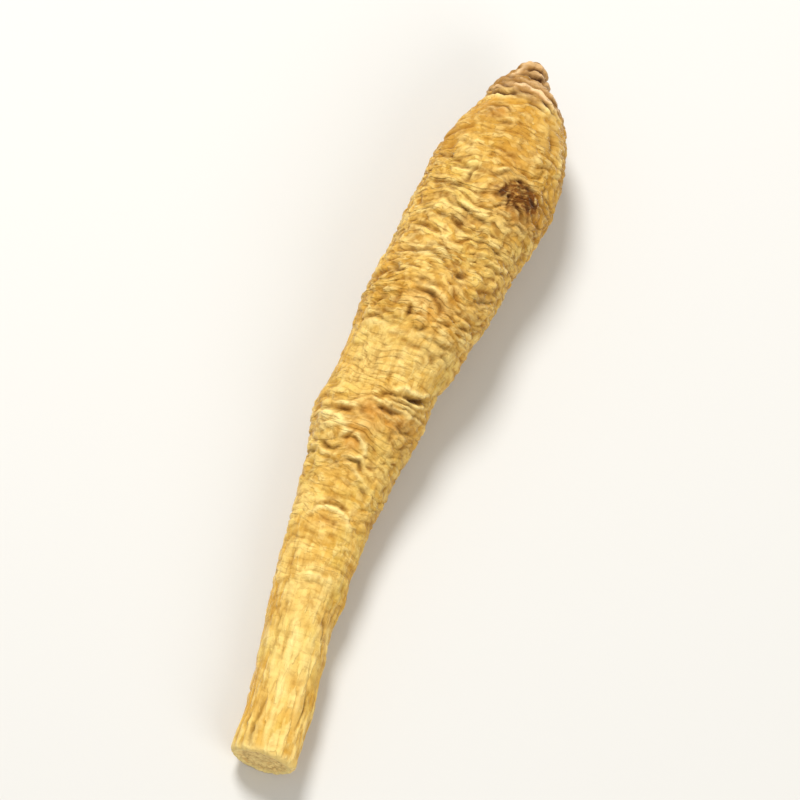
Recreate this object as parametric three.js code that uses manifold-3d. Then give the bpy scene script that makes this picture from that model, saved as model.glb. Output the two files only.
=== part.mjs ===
// Dried American ginseng root, whole, lying on its side as it would on a table.
// Millimetres. +Y points to the crown (the short rhizome where the stem grew), -Y to the end where
// the tail was sawn off nearly square, +Z up. The origin is under the middle of the root, on the table.
import * as THREE from 'three';
import { mergeVertices } from 'three/addons/utils/BufferGeometryUtils.js';
import Module from 'manifold-3d';

// Driving dimensions
const LENGTH = 99;            // crown tip to cut end
const HALF_THICK = 8.75;      // half the widest part of the head
const FLATNESS = 0.95;        // height of a section over its width
const PRESSED_FLAT = 0.45;    // depth of the flats where the root lay while it dried
const HEAD_AXIS_HEIGHT = 8.1; // centre line above the table, from the crown to the widest part
const CUT_LEAN = 5;           // degrees that the sawn end leans back, so that it faces a little upwards
const OVERRUN = 3;            // the tube runs this far past the cut before it is cut off

// The outline seen from above: distance from the crown tip, half width as a share of the widest,
// and how far the centre line bends sideways (+X) there.
const OUTLINE = [
  { at: 0, half: 0, bend: 1.0 },
  { at: 0.1, half: 0.075, bend: 0.8 },
  { at: 0.35, half: 0.135, bend: 0.8 },
  { at: 1.1, half: 0.215, bend: 0.7 },
  { at: 2.0, half: 0.265, bend: 0.6 },
  { at: 2.8, half: 0.31, bend: 0.5 },
  { at: 3.6, half: 0.36, bend: 0.5 },
  { at: 5.2, half: 0.51, bend: 0.8 },
  { at: 6.9, half: 0.615, bend: 1.45 },
  { at: 8.6, half: 0.735, bend: 1.5 },
  { at: 13.7, half: 0.915, bend: 1.3 },
  { at: 20.5, half: 1.0, bend: 0.9 },
  { at: 28, half: 0.94, bend: -0.3 },
  { at: 35.5, half: 0.955, bend: -1.2 },
  { at: 41, half: 0.875, bend: -1.8 },
  { at: 47.5, half: 0.775, bend: -2.6 },
  { at: 54, half: 0.775, bend: -3.15 },
  { at: 60.5, half: 0.645, bend: -3.1 },
  { at: 67.5, half: 0.575, bend: -2.9 },
  { at: 80, half: 0.515, bend: -2.15 },
  { at: 91, half: 0.485, bend: -0.8 },
  { at: LENGTH + OVERRUN, half: 0.48, bend: 0 },
];

// The rings of old stem scars on the crown: distance from the tip on the left side of the root,
// how much further along the lip lies on the right side, and how far the lip stands out.
const CROWN_RINGS = [
  { at: 1.6, slant: 0.5, lip: 0.18, width: 0.45 },
  { at: 3.9, slant: 0.9, lip: 0.35, width: 0.5 },
  { at: 5.9, slant: 0.7, lip: 0.2, width: 0.45 },
];

// Swellings and broken-off rootlets: distance from the crown tip, angle round the root (0 is +X,
// 90 is up), height, and half length along the root and half breadth round it.
const SWELLINGS = [
  { at: 54.0, turn: 160, height: 0.5, along: 2.6, round: 3.6 },   // side root's scar, left
  { at: 57.5, turn: 128, height: 0.55, along: 1.8, round: 2.6 },  // its lower lobe
  { at: 44.2, turn: 8, height: 0.65, along: 1.8, round: 2.8 },    // ledge on the right
  { at: 70.8, turn: 2, height: 0.6, along: 1.0, round: 1.3 },     // rootlet stubs down the right
  { at: 76.2, turn: -4, height: 0.75, along: 1.1, round: 1.3 },
  { at: 83.8, turn: 6, height: 0.5, along: 0.9, round: 1.2 },
  { at: 90.8, turn: 0, height: 0.65, along: 0.9, round: 1.2 },
  { at: 30.0, turn: 250, height: 0.4, along: 4.5, round: 4.0 },   // lumps underneath
  { at: 62.0, turn: 285, height: 0.45, along: 3.5, round: 3.0 },
  { at: 24.0, turn: 205, height: 0.3, along: 5.0, round: 4.5 },
];

// How the underside follows the table: distance from the crown tip and clearance below the root,
// negative where the root is pressed flat against what it lay on.
const UNDERSIDE = [
  { at: 22, clear: -PRESSED_FLAT },
  { at: 30, clear: -PRESSED_FLAT },
  { at: 42, clear: 0.25 },
  { at: 53, clear: -PRESSED_FLAT },
  { at: 59, clear: -PRESSED_FLAT },
  { at: 72, clear: 0.35 },
  { at: 88, clear: -PRESSED_FLAT * 0.4 },
  { at: LENGTH + OVERRUN, clear: -PRESSED_FLAT * 0.4 },
];

// Mesh fineness
const AROUND = 44;
const TIP_STEPS = 5;
const TIP_END = 1.1;
const CROWN_END = 9;
const CROWN_STEP = 0.56;
const BODY_STEP = 1.6;

// A smooth curve through the rows of a table, read at a distance along the root.
function smoothRead(table, key, at) {
  const last = table.length - 1;
  if (at <= table[0].at) return table[0][key];
  if (at >= table[last].at) return table[last][key];
  const i = table.findIndex((row) => row.at > at) - 1;
  const slope = (a, b) => (table[b][key] - table[a][key]) / (table[b].at - table[a].at);
  const tangent = (n) => (n === 0 ? slope(0, 1) : n === last ? slope(last - 1, last) : slope(n - 1, n + 1));
  const span = table[i + 1].at - table[i].at;
  const s = (at - table[i].at) / span;
  const rise = s * s * (3 - 2 * s);
  return table[i][key] * (1 - rise) + table[i + 1][key] * rise
    + span * s * (1 - s) * (tangent(i) * (1 - s) - tangent(i + 1) * s);
}

// Height of the centre line. From the crown to the widest part it is level; from there the
// underside follows the table, so the thinner tail lies lower.
function axisHeight(at, halfHeight) {
  const lying = halfHeight + smoothRead(UNDERSIDE, 'clear', at);
  const settled = THREE.MathUtils.smoothstep(at, 14, 24);
  return HEAD_AXIS_HEIGHT * (1 - settled) + lying * settled;
}

// Long, low unevenness of a root that shrank as it dried.
function unevenness(at, angle) {
  const fade = THREE.MathUtils.smoothstep(at, 8, 18);
  return fade * (
    0.16 * Math.sin(2 * angle + at * 0.13)
    + 0.12 * Math.sin(3 * angle - at * 0.21 + 1.3)
    + 0.09 * Math.sin(at * 0.52 + 2 * Math.sin(angle)));
}

// How far the rings of the crown stand out.
function crownLips(at, angle) {
  let out = 0;
  for (const ring of CROWN_RINGS) {
    const lipAt = ring.at + ring.slant * (0.5 + 0.5 * Math.cos(angle));
    out += ring.lip * Math.exp(-(((at - lipAt) / ring.width) ** 2));
  }
  return out * THREE.MathUtils.smoothstep(at, 0, 1);
}

function swellings(at, angle, radius) {
  let out = 0;
  for (const lump of SWELLINGS) {
    const turned = angle - THREE.MathUtils.degToRad(lump.turn);
    const arc = radius * Math.atan2(Math.sin(turned), Math.cos(turned));
    out += lump.height * Math.exp(-(((at - lump.at) / lump.along) ** 2) - (arc / lump.round) ** 2);
  }
  return out;
}

// A point of the skin at a distance from the crown tip and an angle round the root.
function skinPoint(at, angle) {
  const half = HALF_THICK * smoothRead(OUTLINE, 'half', at);
  const height = axisHeight(at, half * FLATNESS);
  const out = crownLips(at, angle) + swellings(at, angle, half) + unevenness(at, angle);
  return new THREE.Vector3(
    smoothRead(OUTLINE, 'bend', at) + (half + out) * Math.cos(angle),
    -at,
    height + (half * FLATNESS + out) * Math.sin(angle));
}

// Distances from the crown tip at which the skin has a ring of points: close together on the
// domed tip and the crown, wider apart down the body.
function ringDistances() {
  const rings = [];
  for (let i = 1; i <= TIP_STEPS; i += 1) rings.push(TIP_END * (1 - Math.cos((i / TIP_STEPS) * Math.PI / 2)));
  for (let at = TIP_END + CROWN_STEP; at < CROWN_END; at += CROWN_STEP) rings.push(at);
  for (let at = CROWN_END; at < LENGTH + OVERRUN; at += BODY_STEP) rings.push(at);
  return rings;
}

// The whole skin as one closed geometry, with a point at each end.
function skinGeometry() {
  const rings = ringDistances();
  const points = [skinPoint(0, 0)];
  for (const at of rings) {
    for (let j = 0; j < AROUND; j += 1) points.push(skinPoint(at, (2 * Math.PI * j) / AROUND));
  }
  const end = rings[rings.length - 1];
  const endHalf = HALF_THICK * smoothRead(OUTLINE, 'half', end);
  points.push(new THREE.Vector3(smoothRead(OUTLINE, 'bend', end), -end, axisHeight(end, endHalf * FLATNESS)));
  const last = points.length - 1;
  const at = (i, j) => 1 + i * AROUND + (j % AROUND);
  const faces = [];
  for (let j = 0; j < AROUND; j += 1) {
    faces.push(0, at(0, j + 1), at(0, j));
    for (let i = 0; i < rings.length - 1; i += 1) {
      faces.push(at(i, j), at(i, j + 1), at(i + 1, j));
      faces.push(at(i, j + 1), at(i + 1, j + 1), at(i + 1, j));
    }
    faces.push(last, at(rings.length - 1, j), at(rings.length - 1, j + 1));
  }
  const geometry = new THREE.BufferGeometry().setFromPoints(points);
  geometry.setIndex(faces);
  return geometry;
}

const wasm = await Module();
wasm.setup();

function toSolid(geometry) {
  const bare = geometry.clone();
  bare.deleteAttribute('normal');
  bare.deleteAttribute('uv');
  const merged = mergeVertices(bare);
  return new wasm.Manifold(new wasm.Mesh({
    numProp: 3,
    vertProperties: merged.attributes.position.array,
    triVerts: new Uint32Array(merged.index.array),
  }));
}

function toGeometry(solid) {
  const { vertProperties, triVerts, numProp } = solid.getMesh();
  const corners = new Float32Array((vertProperties.length / numProp) * 3);
  for (let i = 0; i < corners.length / 3; i += 1) {
    corners.set(vertProperties.subarray(i * numProp, i * numProp + 3), i * 3);
  }
  const geometry = new THREE.BufferGeometry();
  geometry.setAttribute('position', new THREE.BufferAttribute(corners, 3));
  geometry.setIndex(new THREE.BufferAttribute(triVerts, 1));
  return geometry;
}

// The skin, pressed flat where it touches the table and sawn off nearly square at the tail.
function rootGeometry() {
  const big = 3 * LENGTH;
  const table = new THREE.BoxGeometry(big, big, big).translate(0, 0, -big / 2);
  const pastTheCut = new THREE.BoxGeometry(big, big, big)
    .translate(0, -big / 2, 0)
    .rotateX(-THREE.MathUtils.degToRad(CUT_LEAN))
    .translate(0, -LENGTH, 0);
  const solid = toSolid(skinGeometry()).subtract(toSolid(table)).subtract(toSolid(pastTheCut));
  const geometry = toGeometry(solid);
  geometry.computeBoundingBox();
  const middle = geometry.boundingBox.getCenter(new THREE.Vector3());
  return geometry.translate(-middle.x, -middle.y, 0);
}

const driedRoot = new THREE.MeshStandardMaterial({ color: 0xc99a4f, roughness: 0.82, metalness: 0 });

const ginsengRoot = new THREE.Mesh(rootGeometry(), driedRoot);
ginsengRoot.name = 'ginseng_root';

const part = new THREE.Group();
part.add(ginsengRoot);

export default part;
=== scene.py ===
# Dried American ginseng root: its looks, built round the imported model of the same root.
# The skin is shaped in millimetres and put into Blender in metres. +Y points to the crown, +Z up, and
# the root lies on z = 0. "Along" is the distance down the root from the crown's tip.
import math

import bpy
import numpy as np
from mathutils import Matrix, Vector, noise
from mathutils.bvhtree import BVHTree


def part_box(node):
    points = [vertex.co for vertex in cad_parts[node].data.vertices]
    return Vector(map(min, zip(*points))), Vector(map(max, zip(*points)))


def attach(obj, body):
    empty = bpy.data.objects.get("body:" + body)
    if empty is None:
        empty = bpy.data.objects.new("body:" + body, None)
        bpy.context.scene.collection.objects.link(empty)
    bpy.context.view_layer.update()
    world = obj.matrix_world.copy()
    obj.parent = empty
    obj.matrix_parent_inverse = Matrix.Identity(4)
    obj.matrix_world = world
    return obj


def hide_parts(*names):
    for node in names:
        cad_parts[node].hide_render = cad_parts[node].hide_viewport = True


MM = 0.001

# The camera, as the photo sees the root: from the tail's side, well above, the crown leaning right
VIEW_ELEVATION = math.radians(72.0)
LEAN = math.radians(20.9)
CAMERA_DISTANCE = 600.0
VIEW_HEIGHT = 101.0
SENSOR = 36.0
CLIP_START = 0.01
TO_CAMERA = Vector((0, -math.cos(VIEW_ELEVATION), math.sin(VIEW_ELEVATION)))
PICTURE_UP = Vector((0, math.sin(VIEW_ELEVATION), math.cos(VIEW_ELEVATION)))

# Where the photo's measuring lines start: the crown's tip in the picture
TIP_RIGHT = 0.31
TIP_DOWN = 2.47

# Softboxes, in metres and watts: place, size and power
SOFTBOXES = {
    "key_softbox": ((-0.30, 0.36, 0.62), 0.25, 5.6),
    "fill_softbox": ((0.55, -0.35, 0.5), 0.6, 2.2),
}
ROOM_WHITE = "#fdf8f0"
ROOM_STRENGTH = 0.5
TABLE_HALF = 1.5

# Mesh fineness: points round the root, and distances between the rings of points along it
AROUND = 208
TIP_RINGS = 12
TIP_END = 0.9
CROWN_END = 9.0
CROWN_STEP = 0.15
WRINKLED_END = 66.0
WRINKLED_STEP = 0.208
TAIL_STEP = 0.31
CUT_EDGE = 1.2
CUT_EDGE_STEP = 0.12
FLESH_RINGS = 14

# Reading the CAD root with rays: where they start, how near the two ends they may be, how high its
# axis is at the crown, what the radius is where a ray misses, how far above and below the middle the
# sawn end is read, and how far before that end the skin begins to follow its lean
FAR = 100.0
TIP_CLEAR = 0.01
END_CLEAR = 1.0
CROWN_HEIGHT = 8.0
LEAST_RADIUS = 0.05
CUT_RISE = 2.0
LEAN_START = 6.0

# Taking the facets out of what the rays read: blurs of the centre line, of the crown and of the body
# along the root, and round it in degrees, and where the crown's blur gives way to the body's
LINE_BLUR = 2.5
CROWN_BLUR = 0.22
BODY_BLUR = 1.0
TURN_BLUR = 4.5
BODY_START = 6.5
BODY_FADE = 3.0
END_FADE = 1.5

# The edge of the cut: how far the skin flares there, and how far it is rounded off
EDGE_FLARE = 0.12
EDGE_ROUND = 0.75

# Soft random shifts, as rows of strength, grain size in millimetres and seed. Woven bends the rings
# and cushions, threads the grain, wander the lines of the marks, uneven their strength, and sawn is
# the roughness of the cut. Blender's noise starts from the clock unless it is given a seed.
NOISE_SEED = 3
SEED_STEPS = (7.3, 3.1, 5.7)
WOVEN = ((0.75, 4.5, 5), (0.3, 1.6, 6))
THREADS = ((0.5, 7.0, 9),)
WANDER = ((0.28, 1.2, 1), (0.13, 0.5, 2))
UNEVEN = ((1.0, 1.5, 3),)
SAWN = ((0.22, 1.4, 7), (0.08, 0.5, 8))

# Colours, as sRGB hex
STRAW = "#e8bb5a"
PALE_STRAW = "#f4d178"
OCHRE = "#cb942e"
AMBER = "#bc862e"
CREAM = "#ffe698"
OLIVE_STRAW = "#dcc25e"
# the brown of the painted shade in the grooves and folds
GROOVE_SHADE_BROWN = "#96600c"
# the crack's own brown together with painted shade in creases, grooves and the tip's hollow
CRACK_SHADE_BROWN = "#4c2a06"
SPOT_BROWN = "#7c480c"
RUST_ORANGE = "#cc8426"
CROWN_BROWN = "#9c6c2e"
CROWN_TAN = "#ecc794"
FIBRE_WHITE = "#fff1dc"
FLESH_CREAM = "#ffe092"
FLESH_TAN = "#cf9a4c"
CAMBIUM_BROWN = "#94642c"
TABLE_WHITE = "#d9d8d4"

# How strong the rings round the root and the grain down it are, and how tan it is:
# along, rings, grain, tan
SKIN_ZONES = [
    (0, 0.8, 0.5, 0.4),
    (6, 0.75, 0.4, 0.5),
    (7, 0.6, 0.25, 0.75),
    (15, 0.75, 0.25, 0.7),
    (18.5, 0.85, 0.3, 0.35),
    (22, 1.0, 0.25, 0.25),
    (40, 1.0, 0.3, 0.3),
    (43, 0.5, 0.6, 0.1),
    (49, 0.6, 0.6, 0.15),
    (52, 0.8, 0.4, 0.4),
    (62, 0.65, 0.4, 0.25),
    (68, 0.5, 0.5, 0.1),
    (78, 0.35, 0.7, 0.0),
    (90, 0.15, 0.85, 0.0),
    (99, 0.08, 0.85, 0.05),
]

# Sizes of the wrinkles that the whole skin has, in millimetres, and the seed of their pattern.
# Rings run round the root, puckers are the cushions between them, and strands run down it.
WRINKLE_SIZES = {
    "Ring spacing": 2.1,
    "Ring depth": 0.32,
    "Pucker width": 2.9,
    "Pucker length": 1.6,
    "Pucker height": 0.2,
    "Crinkle width": 1.3,
    "Crinkle length": 0.75,
    "Crinkle height": 0.1,
    "Strand width": 1.1,
    "Strand length": 9.0,
    "Strand height": 0.12,
    "Lump size": 4.5,
    "Lump height": 0.5,
    "Seed": 11.0,
}

# Marks that the photo shows, each where the camera sees it: millimetres right of and down from the
# crown's tip. A crease is a crack pressed in, dark with its own brown and with painted shade, and its
# width is half of what is seen: width, depth, darkness, and the places it runs through
CREASES = [
    # the crown: pits and grooves between the old stem scars
    (0.34, 0.24, 1.3, (-0.4, 1.35), (0.7, 0.95), (1.7, 0.95), (2.6, 1.45)),
    (0.4, 0.3, 1.8, (-0.6, 2.1), (0.4, 2.1), (2.0, 2.2), (3.6, 2.8)),
    (0.3, 0.35, 1.3, (2.7, 4.6), (4.0, 5.1), (5.0, 5.7), (5.8, 6.3)),
    (0.32, 0.3, 1.1, (-0.2, 4.2), (0.7, 4.3), (1.9, 4.3)),
    (0.32, 0.38, 1.2, (-3.6, 5.9), (-2.6, 5.6), (-1.6, 5.5), (-0.8, 5.0), (0.2, 4.9)),
    (0.24, 0.22, 0.8, (-2.8, 3.2), (-2.0, 2.9), (-1.2, 3.1)),
    (0.24, 0.22, 0.8, (-3.3, 4.5), (-2.4, 4.2), (-1.4, 4.3)),
    (0.24, 0.22, 0.7, (1.6, 5.4), (2.9, 5.6), (4.2, 6.2)),
    # the head
    (0.22, 0.25, 0.75, (-3.2, 7.7), (-2.0, 7.2), (-1.0, 7.1), (0.2, 7.7)),
    (0.2, 0.2, 0.6, (-4.0, 8.5), (-2.8, 8.1), (-1.8, 8.8), (-0.6, 8.8)),
    (0.22, 0.15, 0.3, (-4.4, 9.6), (-2.9, 9.9), (-1.3, 9.6), (0.6, 9.7)),
    (0.4, 0.18, 0.22, (5.3, 6.9), (5.7, 8.4), (6.4, 9.8), (6.6, 11.2)),
    (0.25, 0.12, 0.2, (-0.4, 11.0), (-0.7, 12.4), (-0.5, 14.2)),
    (0.25, 0.12, 0.22, (4.6, 12.6), (4.1, 13.8), (4.0, 15.2)),
    (0.2, 0.16, 0.45, (-3.6, 8.9), (-2.9, 8.4), (-2.2, 8.6)),
    (0.2, 0.16, 0.45, (-1.2, 9.4), (-0.4, 9.1), (0.6, 8.9)),
    (0.18, 0.14, 0.35, (0.6, 7.4), (1.4, 7.9), (1.6, 8.6)),
    (0.18, 0.14, 0.35, (-4.0, 12.2), (-3.6, 13.2), (-3.3, 14.2)),
    (0.18, 0.14, 0.35, (-5.4, 13.4), (-4.6, 13.0), (-4.2, 13.3)),
    (0.18, 0.14, 0.4, (1.0, 13.2), (2.0, 12.8), (3.2, 12.9)),
    (0.18, 0.14, 0.4, (0.0, 14.0), (0.9, 14.6), (2.0, 14.4)),
    (0.18, 0.14, 0.35, (2.2, 10.2), (2.6, 11.2), (3.3, 11.9)),
    (0.18, 0.14, 0.35, (-1.9, 11.2), (-1.2, 10.8), (-0.3, 11.3)),
    (0.18, 0.14, 0.3, (5.9, 12.0), (6.4, 13.4), (6.3, 14.8)),
    (0.2, 0.18, 0.45, (1.4, 15.5), (2.4, 15.0), (3.6, 15.3)),
    (0.2, 0.18, 0.4, (-4.6, 14.9), (-3.4, 14.6), (-2.4, 15.1)),
    # the first ring under the head
    (0.22, 0.25, 0.45, (-6.9, 16.3), (-5.3, 15.8), (-4.0, 16.0), (-2.8, 16.4), (-1.4, 16.0)),
    (0.22, 0.35, 0.7, (-1.9, 15.9), (-2.4, 17.1), (-2.3, 18.3)),
    (0.25, 0.25, 0.5, (-0.4, 16.3), (1.1, 15.9), (2.2, 15.4)),
    (0.25, 0.25, 0.55, (-7.0, 19.5), (-5.5, 19.0), (-3.8, 19.0), (-2.0, 18.6), (-0.9, 19.2)),
    # cracks in the scorched spot
    (0.28, 0.22, 1.4, (3.0, 16.3), (2.6, 17.2), (1.7, 18.4)),
    (0.2, 0.16, 1.1, (2.4, 18.5), (2.9, 17.6), (3.4, 17.2)),
    (0.26, 0.2, 1.3, (3.2, 15.9), (4.4, 15.8), (5.4, 16.2), (5.9, 16.8)),
    (0.22, 0.18, 1.1, (4.0, 16.4), (4.9, 16.9), (5.3, 17.6)),
    (0.26, 0.2, 1.3, (5.6, 17.0), (6.4, 17.7), (7.3, 18.5)),
    (0.22, 0.18, 1.1, (5.2, 17.6), (6.0, 18.3), (6.7, 19.1)),
    (0.22, 0.2, 1.0, (3.0, 16.9), (3.6, 18.3), (3.6, 19.7)),
    (0.22, 0.2, 1.0, (4.2, 18.2), (5.0, 18.9), (5.9, 19.8)),
    (0.22, 0.22, 0.75, (6.5, 19.2), (7.1, 20.2)),
    # the close rings of the shoulder
    (0.24, 0.35, 0.7, (-5.0, 20.9), (-3.2, 21.3), (-1.5, 21.4), (0.1, 21.9), (1.4, 22.4), (3.0, 22.1)),
    (0.24, 0.32, 0.65, (-6.4, 22.8), (-4.2, 23.0), (-2.6, 23.2), (-1.4, 23.6), (-0.2, 24.0),
     (1.2, 24.2), (2.4, 24.0)),
    (0.2, 0.2, 0.45, (3.2, 20.6), (4.6, 21.3), (6.2, 21.2), (7.8, 21.9)),
    (0.2, 0.2, 0.4, (1.4, 25.1), (3.0, 24.7), (4.4, 25.3), (6.0, 25.0)),
    (0.22, 0.22, 0.45, (-7.3, 25.0), (-5.8, 25.2), (-4.4, 24.9), (-2.8, 25.5)),
    (0.22, 0.26, 0.55, (-4.6, 27.5), (-3.4, 27.0), (-2.2, 26.7), (-1.1, 27.3), (-0.2, 28.3)),
    (0.25, 0.36, 0.75, (-6.8, 28.7), (-5.2, 28.5), (-4.2, 28.1), (-2.8, 28.0), (-1.6, 28.5),
     (-0.8, 29.2)),
    (0.22, 0.26, 0.5, (1.8, 27.6), (2.8, 26.6), (4.0, 27.2), (5.6, 27.6), (6.8, 27.1)),
    (0.3, 0.3, 0.65, (0.5, 29.4), (1.4, 29.7), (2.3, 29.3)),
    (0.22, 0.24, 0.5, (2.8, 31.5), (4.2, 31.9), (5.8, 31.7), (6.9, 31.2)),
    (0.24, 0.28, 0.55, (-7.6, 31.2), (-6.4, 31.6), (-5.6, 31.3)),
    (0.24, 0.28, 0.55, (-4.7, 31.9), (-3.0, 31.6), (-1.6, 31.9), (-0.2, 31.5)),
    # the crumpled stretch above the middle
    (0.34, 0.36, 0.7, (-3.7, 33.7), (-2.7, 33.2), (-1.8, 33.0), (-0.8, 33.5), (0.3, 34.3), (0.9, 35.6)),
    (0.3, 0.32, 0.75, (-3.4, 35.4), (-3.3, 36.2), (-3.4, 37.0)),
    (0.26, 0.3, 0.7, (-2.5, 37.4), (-1.4, 38.0), (-0.5, 37.4)),
    (0.26, 0.3, 0.6, (-1.0, 38.4), (0.6, 38.8), (2.6, 38.9), (4.2, 38.4)),
    (0.22, 0.28, 0.4, (-8.4, 38.5), (-6.6, 38.2), (-5.0, 38.5), (-3.4, 38.2)),
    (0.22, 0.22, 0.35, (2.8, 35.2), (4.2, 35.8), (5.6, 35.4)),
    (0.22, 0.22, 0.35, (-8.8, 34.6), (-7.2, 34.9), (-5.4, 34.5)),
    # folds of the smoother side
    (0.24, 0.16, 0.2, (-7.0, 39.8), (-7.2, 42.0), (-7.0, 44.6), (-6.8, 47.0)),
    (0.22, 0.14, 0.18, (-4.9, 40.2), (-5.0, 42.6), (-4.8, 45.4)),
    (0.24, 0.18, 0.28, (-2.6, 39.6), (-2.4, 41.2), (-2.9, 43.2), (-2.6, 45.2)),
    (0.24, 0.22, 0.35, (0.6, 39.8), (1.8, 40.8), (2.2, 42.2)),
    (0.24, 0.22, 0.35, (2.0, 39.8), (3.4, 40.4), (4.0, 41.6)),
    (0.24, 0.25, 0.4, (3.0, 43.8), (4.2, 43.0), (5.4, 42.4)),
    # the deep crack at the middle, and the ledges under it
    (0.34, 0.7, 1.0, (-0.2, 46.6), (0.5, 46.2), (1.2, 46.5), (1.9, 46.4), (2.8, 46.1)),
    (0.24, 0.35, 0.55, (-3.0, 47.3), (-1.7, 46.7), (-0.2, 46.6)),
    (0.2, 0.25, 0.45, (-1.6, 47.6), (0.0, 47.3), (1.4, 47.5), (3.2, 47.4)),
    (0.2, 0.25, 0.45, (-1.2, 48.2), (0.8, 48.0), (2.4, 48.3), (3.6, 48.6)),
    (0.28, 0.35, 0.65, (-3.6, 48.3), (-2.0, 48.8), (-0.6, 48.9), (0.8, 48.7)),
    (0.26, 0.35, 0.85, (0.7, 50.2), (1.5, 50.8), (2.4, 50.6)),
    (0.3, 0.3, 0.6, (-5.0, 49.3), (-4.4, 49.8), (-3.6, 49.6)),
    # round the scar of the side root
    (0.34, 0.35, 0.45, (-9.6, 51.7), (-8.4, 51.0), (-7.0, 50.7), (-5.4, 50.6), (-4.4, 51.0)),
    (0.22, 0.25, 0.45, (-1.9, 58.6), (-0.7, 59.3), (0.2, 60.2)),
    (0.26, 0.38, 0.75, (-7.8, 55.3), (-6.9, 55.8), (-5.9, 55.6), (-5.4, 54.9)),
    (0.24, 0.3, 0.6, (-8.9, 57.5), (-8.2, 56.8)),
    (0.22, 0.22, 0.45, (-8.9, 53.7), (-7.9, 53.4), (-6.8, 53.7), (-6.2, 54.4)),
    (0.24, 0.28, 0.5, (-5.3, 53.9), (-4.6, 53.4), (-3.7, 53.6), (-3.1, 54.3)),
    (0.24, 0.28, 0.6, (-4.1, 56.5), (-3.5, 56.4), (-2.5, 56.1), (-1.4, 57.3)),
    (0.22, 0.22, 0.45, (-6.4, 57.4), (-5.4, 57.1), (-4.4, 57.7)),
    # the arched ridge of an old scar, and the crumples below it
    (0.24, 0.28, 0.45, (-5.6, 63.0), (-4.6, 62.3), (-3.2, 62.0), (-2.0, 62.3), (-0.8, 63.2)),
    (0.3, 0.2, 0.35, (-4.9, 64.6), (-3.6, 64.2), (-2.2, 64.3), (-1.2, 64.9)),
    (0.22, 0.2, 0.35, (-4.6, 71.3), (-3.4, 70.6), (-2.0, 70.4), (-0.6, 70.6)),
    (0.22, 0.2, 0.35, (-5.0, 72.4), (-3.3, 72.0), (-1.6, 71.9), (0.2, 72.2)),
    (0.2, 0.14, 0.22, (-6.6, 66.5), (-4.8, 66.2), (-3.0, 66.6)),
    (0.2, 0.14, 0.22, (-0.8, 67.4), (0.6, 67.2), (1.6, 67.6)),
    # grain of the tail
    (0.22, 0.22, 0.5, (-2.7, 87.2), (-2.9, 90.8), (-2.7, 93.4)),
    (0.2, 0.18, 0.35, (-3.8, 88.6), (-3.7, 92.2)),
    (0.2, 0.18, 0.35, (1.9, 84.6), (2.4, 87.0), (2.3, 89.6)),
    (0.2, 0.16, 0.28, (0.6, 75.4), (1.3, 78.0), (1.9, 80.6)),
    (0.2, 0.16, 0.28, (-4.9, 74.0), (-4.5, 78.0), (-4.0, 82.4)),
    (0.2, 0.16, 0.25, (-3.2, 76.5), (-2.9, 80.5), (-2.7, 84.0)),
]
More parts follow.
